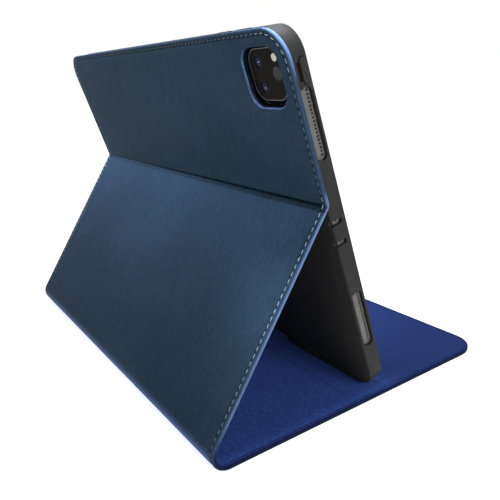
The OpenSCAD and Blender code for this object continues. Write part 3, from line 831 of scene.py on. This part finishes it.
def replaced(region, layer):
    """The CAD nodes that a region's piece stands in for."""
    return [f"{CAD_PANELS[region]}_{layer}"] if layer and region in CAD_PANELS else []


def outline_points(inset):
    """Evenly spaced points round the cover's outline at that inset, with their direction."""
    w, r = HALF - inset, R_COVER - inset
    x0, x1, s0, s1 = -w + r, w - r, inset + r, S_TOP - inset - r
    parts = [
        ("line", (-w, s0), (-w, s1)), ("arc", (x0, s1), 180),
        ("line", (x0, S_TOP - inset), (x1, S_TOP - inset)), ("arc", (x1, s1), 90),
        ("line", (w, s1), (w, s0)), ("arc", (x1, s0), 0),
        ("line", (x1, inset), (x0, inset)), ("arc", (x0, s0), 270)]
    lengths = [math.dist(p[1], p[2]) if p[0] == "line" else r * math.pi / 2 for p in parts]
    total = sum(lengths)
    count = round(total / PITCH)
    out = []
    for i in range(count):
        t = total * i / count
        j = 0
        while t > lengths[j]:
            t -= lengths[j]
            j += 1
        kind, a, b = parts[j]
        if kind == "line":
            dx, ds = (b[0] - a[0]) / lengths[j], (b[1] - a[1]) / lengths[j]
            out.append((a[0] + dx * t, a[1] + ds * t, dx, ds))
        else:
            angle = math.radians(b) - t / r
            dx, ds = math.sin(angle), -math.cos(angle)
            out.append((a[0] - r * ds, a[1] + r * dx, dx, ds))
    return out


def stitch(x, s, dx, ds, depth, sign):
    """One bowed stitch: points (x, s, h) and faces. sign is -1 when it stands on the outer skin."""
    radius, slant = 0.165, 0.13
    rings, sides = 9, 8
    c, q = math.cos(slant), math.sin(slant)
    tx, ts = dx * c + ds * q, ds * c - dx * q
    pts = []
    for i in range(rings):
        t = -1 + 2 * i / (rings - 1)
        bow = 0.25 * (1 - t * t) - 0.15
        r = radius * (1 - 0.45 * abs(t) ** 3) * (1 + 0.06 * math.sin(t * 9))
        along = t * STITCH / 2
        for j in range(sides):
            a = 2 * math.pi * j / sides
            side, up = r * math.cos(a), r * math.sin(a) * 0.85 + bow
            pts.append((x + tx * along - ts * side, s + ts * along + tx * side, depth + sign * up))
    return pts, tube_faces(rings, sides, [0] * rings)[0] + ring_caps(rings, sides)


def needle_marks(x, s, dx, ds, depth, sign):
    """Small oval at each end of a stitch, just proud of the leather, darkened as painted shade of the needle
    hole.
    """
    sides = 8
    pts, faces = [], []
    for end in (-1, 1):
        reach = end * (STITCH / 2 + 0.12)
        cx, cs = x + dx * reach, s + ds * reach
        start = len(pts)
        for r, up in ((0.4, -0.06), (0.3, 0.035), (0.12, -0.02)):
            for j in range(sides):
                a = 2 * math.pi * j / sides
                u, v = r * 0.8 * math.cos(a), r * 0.9 * math.sin(a)
                pts.append((cx + dx * u - ds * v, cs + ds * u + dx * v, depth + sign * up))
        oval = tube_faces(3, sides, [0] * 3)[0] + ring_caps(3, sides)[1:]
        faces += [tuple(start + v for v in face) for face in oval]
    return pts, faces


def region_of(s):
    return next(r for r, end in zip(REGIONS, BORDERS[1:]) if s < end or end == S_TOP)


def sew(label, depth, sign, material, places, layer=None):
    """Stitches and needle marks as one mesh for each region."""
    sets = {}
    for place in places:
        pts, faces, tags = sets.setdefault(region_of(place[1]), ([], [], []))
        for tag, (p, f) in enumerate((stitch(*place, depth, sign), needle_marks(*place, depth, sign))):
            base = len(pts)
            pts += p
            faces += [tuple(base + v for v in face) for face in f]
            tags += [tag] * len(f)
    for region, (pts, faces, tags) in sets.items():
        x, s, h = np.array(pts).T
        ob = mesh_object(f"{region}_{label}", on_skin(x, s, h), faces, [material, needle_hole_shade], tags,
                         np.stack([x, s], -1))
        turn_outwards(ob)
        settle(ob, region, replaced(region, layer))


for region, ob in skins.items():
    settle(ob, region, replaced(region, "leather"))
for region, ob in linings.items():
    settle(ob, region, replaced(region, "lining"))
sewn = outline_points(INSET)
sew("stitches", SEWN_DEPTH, -1, thread, sewn, "thread")
sew("inner_stitches", INNER_DEPTH, 1, inner_thread, [p for p in sewn if p[1] < S_FOLD - 1])


# ------------------------------- tray
def frame_place(node):
    """Middle and half sizes of a node in tray coordinates (x, u, w)."""
    co = np.array([v.co for v in NODE[node].data.vertices]) / MM
    yz = co[:, 1:] - FOOT
    place = np.stack([co[:, 0], yz @ D_T, yz @ N_T], -1)
    low, high = place.min(axis=0), place.max(axis=0)
    return (low + high) / 2, (high - low) / 2


def tray_copy(node, name):
    me = NODE[node].data.copy()
    me.name = name
    ob = bpy.data.objects.new(name, me)
    ob.matrix_world = NODE[node].matrix_world.copy()
    bpy.context.scene.collection.objects.link(ob)
    return ob


def prism(name, corners, u0, u1, material):
    """Solid between two heights of the tray, with its section given as (x, w)."""
    n = len(corners)
    pts = np.array([(x, u, w) for u in (u0, u1) for x, w in corners])
    ob = mesh_object(name, on_tray(*pts.T), tube_faces(2, n, [0])[0] + ring_caps(2, n), [material])
    turn_outwards(ob)
    return ob


def round_edges(ob, width):
    """Merges the flat faces of a CAD mesh and rounds its sharp edges."""
    bm = bmesh.new()
    bm.from_mesh(ob.data)
    bmesh.ops.remove_doubles(bm, verts=bm.verts, dist=2e-6)
    bmesh.ops.dissolve_limit(bm, angle_limit=math.radians(1), verts=bm.verts, edges=bm.edges)
    sharp = [e for e in bm.edges if len(e.link_faces) == 2 and e.calc_face_angle(0) > math.radians(40)]
    bmesh.ops.bevel(bm, geom=sharp, offset=width * MM, segments=2, profile=0.5, affect="EDGES",
                    clamp_overlap=True)
    bm.to_mesh(ob.data)
    bm.free()
    ob.data.polygons.foreach_set("use_smooth", np.ones(len(ob.data.polygons), bool))


SPEAKERS = (43.0, 142.0)                 # heights of the speaker slots' middles
SPEAKER_HALF = 15.2
LEDGE = [(0.6, 0.6), (0, 0.95), (-1.75, 2.5), (-1.75, 3.2), (0.6, 3.2)]
SLIT_HALF, SLIT_W, SLIT_DEEP = 3.8, 1.3, 1.2
# painted shade: near black inside the slit behind the power button and the hole behind the window
slit_shade = moulded_material("button_slit_shade", (5, 5, 6), (9, 9, 10), (0.6, 0.8), 2400, 0.2, 0.02)
tray_body = tray_copy("tray_shell", "tray_body")
round_edges(tray_body, 0.22)
tray_body.data.materials.clear()
tray_body.data.materials.append(rubber)
# a slit behind the power button, which frees it to move
button_mid, button_half = frame_place("power_button")
low = button_mid[2] - button_half[2] - 0.3
slit_out, slit_in = -TRAY_HALF - 0.5, -TRAY_HALF + SLIT_DEEP
slit = [(slit_out, low - SLIT_W), (slit_out, low + 0.02), (slit_in, low + 0.02), (slit_in, low - SLIT_W)]
cut(tray_body, prism("slit", slit, button_mid[1] - SLIT_HALF, button_mid[1] + SLIT_HALF, slit_shade))
cut(tray_body, loft("hole_cutter", window_rings([(-0.06, 1.6), (-0.06, 5.6)]), [slit_shade], [0, 0]))
# a sloping ledge along the rear side of each speaker slot
for side in (-1, 1):
    wall = side * TRAY_HALF
    ledge = [(wall + side * out, w) for out, w in LEDGE]
    for u in SPEAKERS:
        cut(tray_body, prism("ledge", ledge, u - SPEAKER_HALF, u + SPEAKER_HALF, rubber))
tray_body.data.set_sharp_from_angle(angle=math.radians(32))
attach(tray_body, "tray")
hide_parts("tray_shell")


# ------------------------------- the tablet's camera
def turned_part(name, profile, at, materials, tags, sides=48):
    """Solid of revolution about a line square to the tray: profile is (radius, w), outer edge first."""
    pts = []
    for r, w in profile:
        for j in range(sides):
            a = 2 * math.pi * j / sides
            pts.append((at[0] + r * math.cos(a), at[1] + r * math.sin(a), w))
    faces, tag = tube_faces(len(profile), sides, tags)
    faces += ring_caps(len(profile), sides)
    tag += [tags[0], tags[-1]]
    ob = mesh_object(name, on_tray(*np.array(pts).T), faces, materials, tag)
    turn_outwards(ob)
    ob.data.set_sharp_from_angle(angle=math.radians(35))
    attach(ob, "tablet")
    return ob


lens_black = moulded_material("lens_ring", (10, 11, 14), (18, 19, 23), (0.25, 0.4), 2600, 0.05, 0.04)
lens_blue = moulded_material("lens_glass", (24, 29, 48), (42, 48, 76), (0.08, 0.14), 2000, 0, 0.04)
lens_core = moulded_material("lens_core", (22, 25, 50), (34, 38, 70), (0.1, 0.16), 2000, 0, 0.04)
# painted reflection in the lens glass
lens_glint = moulded_material("lens_glint", (150, 158, 190), (190, 196, 214), (0.1, 0.2), 1800, 0, 0.3)
flash_cream = moulded_material("flash_lens", (176, 172, 158), (200, 196, 182), (0.2, 0.35), 1600, 0.3, 0.1)
sensor_grey = moulded_material("depth_window", (44, 50, 48), (62, 66, 62), (0.3, 0.4), 1600, 0.05, 0.04)
plate_black = moulded_material("camera_plate", (13, 9, 7), (19, 15, 12), (0.28, 0.36), 2000, 0.02, 0.03)
plate_rim = moulded_material("plate_rim", (96, 96, 100), (124, 124, 128), (0.3, 0.4), 2600, 0.1, 0.2, 0.3)
# painted shade: the camera block's sides are near black
block_side_shade = moulded_material("camera_block_side_shade", (4, 7, 8), (7, 10, 12), (0.4, 0.5), 2600, 0.1, 0.02)

# how far inside the ring's outline, and depth
LENS_STEPS = [
    (0, 0.3), (0, -0.04), (0.08, -0.12), (0.25, -0.15), (0.5, -0.12), (0.6, 0.02), (0.95, 0.05), (1.0, 0.2),
    (1.3, 0.22), (1.35, 0.34), (1.6, 0.36), (1.65, 0.48)]
# radius, depth and which of the three glass materials
LENS_DOME = [
    (2.05, 0.42, 0), (2.02, 0.3, 0), (1.9, 0.24, 0), (1.7, 0.18, 1), (1.45, 0.13, 1), (1.2, 0.09, 1),
    (1.1, 0.09, 2), (0.8, 0.04, 2), (0.4, 0.015, 2), (0.08, 0.01, 2)]
GLINT = [(0.3, 0.05), (0.27, -0.015), (0.2, -0.03), (0.08, -0.035)]


def camera_lens(at, tail, glint_at):
    """Stepped ring, domed glass and a small disc of painted reflection in it."""
    r = frame_place("lens_rings")[1][0]
    ring = turned_part(f"camera_lens_ring{tail}", [(r - inner, w) for inner, w in LENS_STEPS], at,
                       [lens_black], [0] * len(LENS_STEPS))
    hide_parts("lens_rings")
    dome, tags = [p[:2] for p in LENS_DOME], [p[2] for p in LENS_DOME]
    glass = turned_part(f"camera_lens_glass{tail}", dome, at, [lens_black, lens_blue, lens_core], tags)
    glint = turned_part(f"camera_lens_glint{tail}", GLINT, glint_at, [lens_glint], [0] * len(GLINT), 20)
    for ob in (glass, glint):
        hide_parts("lens_glasses")


def flash_window():
    """Flat disc of concentric ridges."""
    mid, half = frame_place("flash_lens")
    r, ridges = half[0] * 0.88, 12
    profile = [(r, 0.45), (r, 0.02)]
    profile += [(r * (1 - i / ridges), -0.04 + 0.035 * (i % 2)) for i in range(1, ridges)]
    ob = turned_part("flash_window", profile, mid[:2], [flash_cream], [0] * len(profile))
    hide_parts("flash_lens")


def plate_frame():
    """Bright frame round the camera glass, down the block's side and out under the window."""
    mid, half = frame_place("camera_bump")
    housing_mid, housing_half = frame_place("tablet_housing")
    well = housing_mid[2] - housing_half[2] - 0.05
    rings = []
    for g, w in ((2.4, well), (0.1, well - 0.05), (0.03, 0.35), (0.03, 0.06), (-0.05, -0.02), (-0.2, -0.05),
                 (-0.33, -0.02), (-0.36, 0.06), (-0.36, 0.35)):
        ring = rounded_ring(half[0] + g, half[1] + g, 6.5 + g)
        rings.append([(mid[0] + x, mid[1] + u, w + PANEL + GLUE) for x, u in ring])
    ob = loft("camera_plate_rim", rings, [block_side_shade, plate_rim], [0, 0, 0, 0, 1, 1, 0, 0], caps=False)
    ob.data.set_sharp_from_angle(angle=math.radians(50))
    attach(ob, "tablet")


rings_mid, rings_half = frame_place("lens_rings")
reach = rings_half[1] - rings_half[0]    # the two lenses stand this far above and below the middle
lens_low = (rings_mid[0], rings_mid[1] - reach)
lens_high = (rings_mid[0], rings_mid[1] + reach)
camera_lens(lens_low, "_low", (lens_low[0] - 0.15, lens_low[1] - 0.25))
camera_lens(lens_high, "", (lens_high[0] - 0.15, lens_high[1] + 0.1))
flash_window()
plate_frame()


# ------------------------------- materials of the nodes that stay
def give(material, *nodes, round_to=None):
    for node in nodes:
        ob = NODE[node]
        ob.data.materials.clear()
        ob.data.materials.append(material)
        if round_to:
            flat = ob.modifiers.new("flat_faces", "DECIMATE")
            flat.decimate_type = "DISSOLVE"
            flat.angle_limit = math.radians(1)
            mod = ob.modifiers.new("edges", "BEVEL")
            mod.width = round_to * MM
            mod.segments = 3
            mod.limit_method = "ANGLE"
            mod.angle_limit = math.radians(40)


board = moulded_material("grey_board", (60, 58, 56), (84, 80, 74), (0.8, 0.95), 900, 0.5, 0.1)
steel = moulded_material("magnet_steel", (120, 124, 130), (150, 154, 160), (0.25, 0.42), 1500, 0.12, metal=1)
# dark teal like the window wall, as painted shade where it shows in the window
backing = moulded_material("backing_sheet", (12, 22, 28), (18, 28, 34), (0.6, 0.8), 1200, 0.3, 0.05)
liner = moulded_material("microfibre_sheet", (46, 48, 54), (62, 64, 72), (0.85, 0.98), 4200, 0.5, 0.1)
aluminium = moulded_material("aluminium", (88, 87, 85), (104, 103, 100), (0.38, 0.5), 5200, 0.12, 0.15, 0.2)
foil = moulded_material("battery_foil", (66, 69, 74), (84, 88, 94), (0.35, 0.5), 700, 0.3, metal=0.4)
solder_mask = moulded_material("solder_mask", (22, 66, 44), (34, 88, 60), (0.3, 0.45), 1400, 0.3)
sensor = moulded_material("camera_module", (20, 20, 22), (36, 36, 40), grain=1800)
small_lens = moulded_material("front_camera", (6, 7, 10), (14, 16, 24), (0.05, 0.12), 1600, 0)
speaker = moulded_material("speaker_box", (18, 18, 20), (30, 30, 33), grain=1400)
glass = moulded_material("cover_glass", (9, 9, 11), (13, 14, 17), (0.06, 0.1), 1200, 0, 0.4)
display = moulded_material("display", (14, 15, 20), (22, 24, 30), (0.1, 0.2), 1600, 0)
give(board, "front_cover_board", "spine_stiffener", "kickstand_board", "back_panel_board")
give(steel, "closure_magnets", "dock_magnet_strip", "usb_port")
give(backing, "back_panel_adhesive")
give(liner, "tray_liner")
give(aluminium, "tablet_housing", "tablet_power_button", "tablet_volume_up", "tablet_volume_down")
give(rubber, "power_button", "volume_up_button", "volume_down_button", round_to=0.3)
give(foil, "battery_cells")
give(solder_mask, "logic_board")
give(block_side_shade, "camera_bump")
give(plate_black, "camera_plate")
give(sensor, "camera_sensors")
give(sensor_grey, "depth_sensor")
give(small_lens, "front_camera")
give(speaker, "speaker_boxes")
give(glass, "tablet_glass")
give(display, "display_panel")


# ------------------------------- studio
def camera_axes(yaw, pitch, roll):
    a, e, r = (math.radians(v) for v in (yaw, pitch, roll))
    back = Vector((math.sin(a) * math.cos(e), -math.cos(a) * math.cos(e), math.sin(e)))
    right = (-back).cross(Vector((0, 0, 1))).normalized()
    up = right.cross(-back)
    return right * math.cos(r) + up * math.sin(r), up * math.cos(r) - right * math.sin(r), back


def area(name, at, target, size, power, colour, spread=180):
    """Rectangular lamp at a place, turned to a target, with a narrowed beam where spread says so."""
    light = bpy.data.lights.new(name, "AREA")
    light.shape = "RECTANGLE"
    light.size, light.size_y = size
    light.energy = power
    light.color = colour
    light.spread = math.radians(spread)
    ob = bpy.data.objects.new(name, light)
    bpy.context.scene.collection.objects.link(ob)
    ob.location = at
    ob.visible_camera = False
    ob.rotation_euler = (Vector(target) - Vector(at)).to_track_quat("-Z", "Y").to_euler()


LENS_MM, YAW, PITCH_DOWN, ROLL = 41.59, 237.36, 17.77, -3.93
EYE = (-312.34, FOOT[0] + 189.157, FOOT[1] + 163.19)
cam = bpy.data.objects.new("camera", bpy.data.cameras.new("camera"))
bpy.context.scene.collection.objects.link(cam)
cam.data.lens = LENS_MM
cam.data.sensor_width = 36
cam.data.clip_start = 0.01
cam.data.clip_end = 50
turn = Matrix(camera_axes(YAW, PITCH_DOWN, ROLL)).transposed()
cam.matrix_world = Matrix.Translation(Vector(EYE) * MM) @ turn.to_4x4()
bpy.context.scene.camera = cam

floor_material, k, floor_shader = new_material("studio_floor")
floor_tone = k.mix(k.noise(k.coords(), 3, 2, 0.5), (0.46, 0.46, 0.46, 1), (0.5, 0.5, 0.5, 1))
put(floor_shader.inputs["Base Color"], floor_tone)
floor_shader.inputs["Roughness"].default_value = 0.9
floor_shader.inputs["Specular IOR Level"].default_value = 0.1
floor_shader.inputs["Emission Color"].default_value = (1, 1, 1, 1)
floor_shader.inputs["Emission Strength"].default_value = 0.82
FLOOR_HALF, FLOOR_DROP = 6, 0.0003
corners = [(x * FLOOR_HALF, y * FLOOR_HALF, -FLOOR_DROP) for x, y in ((-1, -1), (1, -1), (1, 1), (-1, 1))]
floor = mesh_object("studio_floor", corners, [(0, 1, 2, 3)], [floor_material])
floor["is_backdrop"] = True

world = bpy.data.worlds.new("studio")
bpy.context.scene.world = world
world.use_nodes = True
sky = world.node_tree.nodes["Background"]
k = Nodes(world.node_tree)
height = k.split(k.coords("Generated"))[2]
put(sky.inputs[0], k.mix(k.ramp(height, 0.13, 0.5), (1, 1, 1, 1), (0.42, 0.43, 0.46, 1)))
sky.inputs[1].default_value = 1.0

# a strip over the upper part of the kickstand, three small beams on its near end and the near corner,
# and a broad fill from the near side
area("key", (0.085, 0.12, 0.42), (0.085, 0.002, 0.125), (0.3, 0.04), 0.42, (0.77, 0.8, 0.95), 39)
area("glow", (-0.11, 0.11, 0.42), (-0.108, 0.032, 0.101), (0.05, 0.02), 0.0085, (0.7, 0.75, 1), 15)
area("top", (-0.07, 0.045, 0.45), (-0.125, 0.037, 0.171), (0.05, 0.05), 0.05, (0.95, 0.97, 1), 16)
area("corner", (-0.35, 0.35, 0.2), (-0.125, 0.036, 0.163), (0.05, 0.05), 0.0045, (0.9, 0.95, 1), 14)
area("side_fill", (-1.3, -0.03, 0.66), (0, 0.02, 0.0), (0.6, 0.4), 15.5, (0.97, 0.98, 1))
view = bpy.context.scene.view_settings
view.view_transform = "Standard"
view.look = "None"

low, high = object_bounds()
